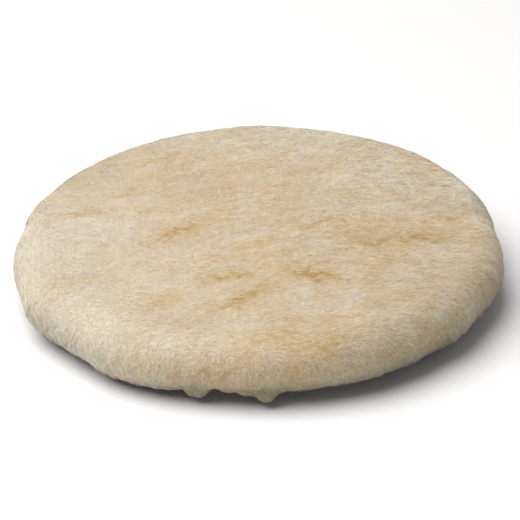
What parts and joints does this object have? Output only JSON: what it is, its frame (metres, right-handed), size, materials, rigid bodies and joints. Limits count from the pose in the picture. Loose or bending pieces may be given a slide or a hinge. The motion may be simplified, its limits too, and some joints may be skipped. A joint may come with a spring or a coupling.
{
  "type": "polishing pad",
  "caption": "Round lambskin polishing pad: shorn natural wool on its skin, with a foam interlayer and a loop back for a machine's hook plate.",
  "frame": {"origin": "centre of the loop face, on the plane that meets the machine's hook plate", "axes": "+Z along the pad's axis, from the loop face to the wool; X and Y are free, because the pad is round"},
  "size_m": [0.196, 0.196, 0.0309],
  "materials": {
    "wool": "matte",
    "skin": "matte",
    "glue": "satin",
    "foam": "matte",
    "loop_cloth": "matte",
    "thread": "satin"
  },
  "bodies": {
    "root": {"wool_pile": "wool", "lambskin": "skin", "skin_adhesive": "glue", "foam_interlayer": "foam", "ground_adhesive": "glue", "loop_ground": "loop_cloth", "loop_nap": "loop_cloth", "needle_thread": "thread", "bobbin_thread": "thread"}
  },
  "joints": []
}
